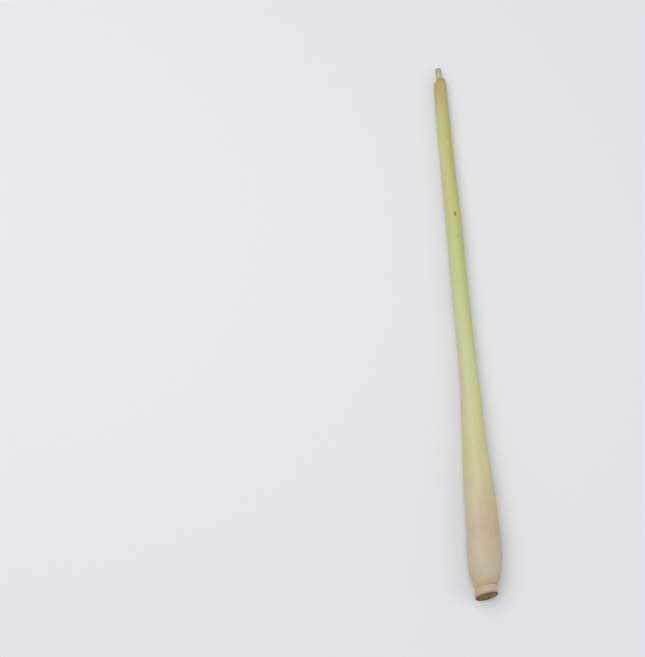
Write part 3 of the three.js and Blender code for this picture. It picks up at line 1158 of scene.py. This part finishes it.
def collar_material():
    material, tree, shader = new_skin("stem collar", 8)
    where = put(tree, "TexCoord", 0, 0).outputs["Object"]
    along_it, round_it = {"Scale": (900, 160, 900)}, {"Scale": (60, 1500, 60)}
    fibres = pattern(tree, "TexNoise", 2, 0, where, {"Scale": 1, "Detail": 3}, along_it)
    lines = pattern(tree, "TexNoise", 2, 1, where, {"Scale": 1, "Detail": 2}, round_it)
    clouds = pattern(tree, "TexNoise", 2, 2, where, {"Scale": 160, "Detail": 3})
    browned = step(tree, 4, 4, above_cut(tree, 2, 4, where), 2 * MM, 0.1 * MM)
    shade = coats(tree, 5, colour_ramp(tree, 3, 0, COLLAR_COLOURS), (
        (step(tree, 3, 1, clouds[0], 0.35, 0.7), 1, (1.0, 0.95, 0.9, 1), TINT),
        (step(tree, 4, 1, lines[0], 0.5, 0.75), 1, (0.93, 0.88, 0.8, 1), TINT),
        (browned, 0.55, colour(146, 122, 88), COVER),
    ))
    relief = sums(tree, 5, 3, "ADD", fibres[0], lines[0])
    finish_skin(tree, 6, shader, shade, relief, 0.5, 0.1 * MM, {
        "Roughness": 0.55,
        "Subsurface Weight": 0.15,
        "Subsurface Radius": (1.0, 0.7, 0.4),
        "Subsurface Scale": 1.2 * MM,
    })
    return material


collar_skin = collar_material()
print("material:", collar_skin.name)

# %% [markdown]
# ### The cut
# The cut has dried brown: dark where the rind is, golden and fibrous inside it, greyer towards the
# pith on the right. The first group tells how far a point is from the middle of the stub, as a
# share of its radius, with a ragged edge, and draws rings of it where the leaf bases stood. The
# dark rind is wider at the lower left and the upper right, which a tilt of that share gives.

# %% Group: round the stub
def stub_group():
    group, start, end = new_group(
        "round the stub", (), (("From middle", "Float"), ("Rings", "Float"))
    )
    where = put(group, "TexCoord", 0, 0).outputs["Object"]
    moved = put(group, "Mapping", 1, 0, {"Location": (-MIDDLE_X, 0, -STEM_HEIGHT)})
    flat = put(group, "Mapping", 2, 0, {"Scale": (1, 0, 1 / OVAL)})
    length = put(group, "VectorMath", 3, 0, operation="LENGTH")
    join(
        group,
        (where, moved.inputs["Vector"]),
        (moved.outputs[0], flat.inputs["Vector"]),
        (flat.outputs[0], length.inputs[0]),
    )
    noise = pattern(group, "TexNoise", 2, 1, where, {"Scale": 420, "Detail": 4, "Roughness": 0.65})
    wobble = times(group, 3, 1, sums(group, 3, 2, "SUBTRACT", noise[0], 0.5), 0.3)
    share = sums(group, 4, 0, "DIVIDE", length.outputs["Value"], STEM_RADIUS)
    reach = sums(group, 5, 0, "ADD", share, wobble)
    rings = sums(group, 7, 0, "SINE", times(group, 6, 0, reach, 24))
    join(group, (reach, end.inputs["From middle"]), (rings, end.inputs["Rings"]))
    return group


round_stub = stub_group()
print("group:", round_stub.name)

# %% Material: cut face
GOLDEN_FIBRES = ((0.4, (84, 55, 20)), (0.58, (148, 112, 38)))


def cut_material():
    material, tree, shader = new_skin("dried cut", 10)
    around = use(tree, round_stub, 0, 0)
    where = put(tree, "TexCoord", 0, 2).outputs["Object"]
    side = put(tree, "SeparateXYZ", 1, 1)
    join(tree, (where, side.inputs[0]))
    knife = {"Scale": (110, 1, 620), "Rotation": (0, 0.35, 0)}
    fine = {"Scale": 1, "Detail": 3, "Roughness": 0.6}
    marks = pattern(tree, "TexNoise", 2, 2, where, fine, knife)[0]
    patches = pattern(tree, "TexNoise", 1, 3, where, fine | {"Scale": 230})[0]
    bundles = pattern(tree, "TexVoronoi", 1, 4, where, {"Scale": 1500})["Distance"]
    golden = put(tree, "ValToRGB", 3, 0)
    for element, (amount, shade) in zip(golden.color_ramp.elements, GOLDEN_FIBRES):
        element.position = amount
        element.color = colour(*shade)
    low = sums(tree, 4, 5, "SUBTRACT", STEM_HEIGHT, side.outputs["Z"])
    tilt = put(tree, "MapRange", 3, 6, {1: -3 * MM, 2: 5 * MM, 3: 0.4, 4: -0.2})
    join(tree, (marks, golden.inputs[0]), (side.outputs["X"], tilt.inputs[0]))
    tilted = times(tree, 5, 6, times(tree, 4, 6, low, 2 / (STEM * MM)), tilt.outputs[0])
    reach = sums(tree, 5, 2, "ADD", around.outputs["From middle"], tilted)
    arcs = step(tree, 2, 4, around.outputs["Rings"], 0.2, 0.95)
    gate = step(tree, 2, 3, patches, 0.42, 0.6)
    dots = step(tree, 4, 4, bundles, 0.35, 0.1)
    shade = coats(tree, 6, golden.outputs[0], (
        (step(tree, 2, 1, side.outputs["X"], -0.5 * MM, 4 * MM), 0.75, colour(132, 112, 92), COVER),
        (times(tree, 3, 3, arcs, gate), 0.6, colour(82, 60, 40), COVER),
        (dots, 0.35, colour(104, 78, 46), COVER),
        (step(tree, 6, 2, reach, 0.75, 1.02), 0.88, colour(70, 48, 24), COVER),
    ))
    relief = sums(tree, 6, 5, "SUBTRACT", marks, times(tree, 5, 5, dots, 0.21))
    finish_skin(tree, 8, shader, shade, relief, 0.8, 0.35 * MM, {"Roughness": 0.72})
    return material


dried_cut = cut_material()
print("material:", dried_cut.name)

# %% [markdown]
# ## Hand over the pieces
# Each piece takes its material, rides on the stalk's one body, and stands for its solid. The stem
# has two materials: every face that looks out of the cut takes the dried brown.

# %% Hand over the pieces
CUT_FACE_LIMIT = 0.965


def is_on_cut(face):
    """True for the faces that lie at the cut's level, inside the cut's edge."""
    away = math.hypot(face.center.x - MIDDLE_X, (face.center.z - STEM_HEIGHT) / OVAL)
    return face.center.y < FOOT_Y + CUT_PEAK + MM and away < CUT_FACE_LIMIT * STEM_RADIUS


outer_leaf.data.materials.append(outer_skin)
inner_leaf.data.materials.append(inner_skin)
shoot.data.materials.append(shoot_skin)
stem.data.materials.append(collar_skin)
stem.data.materials.append(dried_cut)
for face in stem.data.polygons:
    face.material_index = int(is_on_cut(face) and face.normal.y < -0.5)

PIECES = (
    (outer_leaf, "outer_sheath", "outer_leaf"),
    (inner_leaf, "inner_sheath", "inner_leaf"),
    (shoot, "heart_shoot", "young_leaf"),
    (stem, "stem_base", "stem"),
)
for piece, node, slot in PIECES:
    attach(piece, "root")
    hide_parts(node)
    low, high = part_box(node)
    own = points(piece)
    print(piece.name, "reaches", (own.min(0) / MM).round(2), (own.max(0) / MM).round(2),
          "and its solid", [round(v / MM, 2) for v in low], [round(v / MM, 2) for v in high])
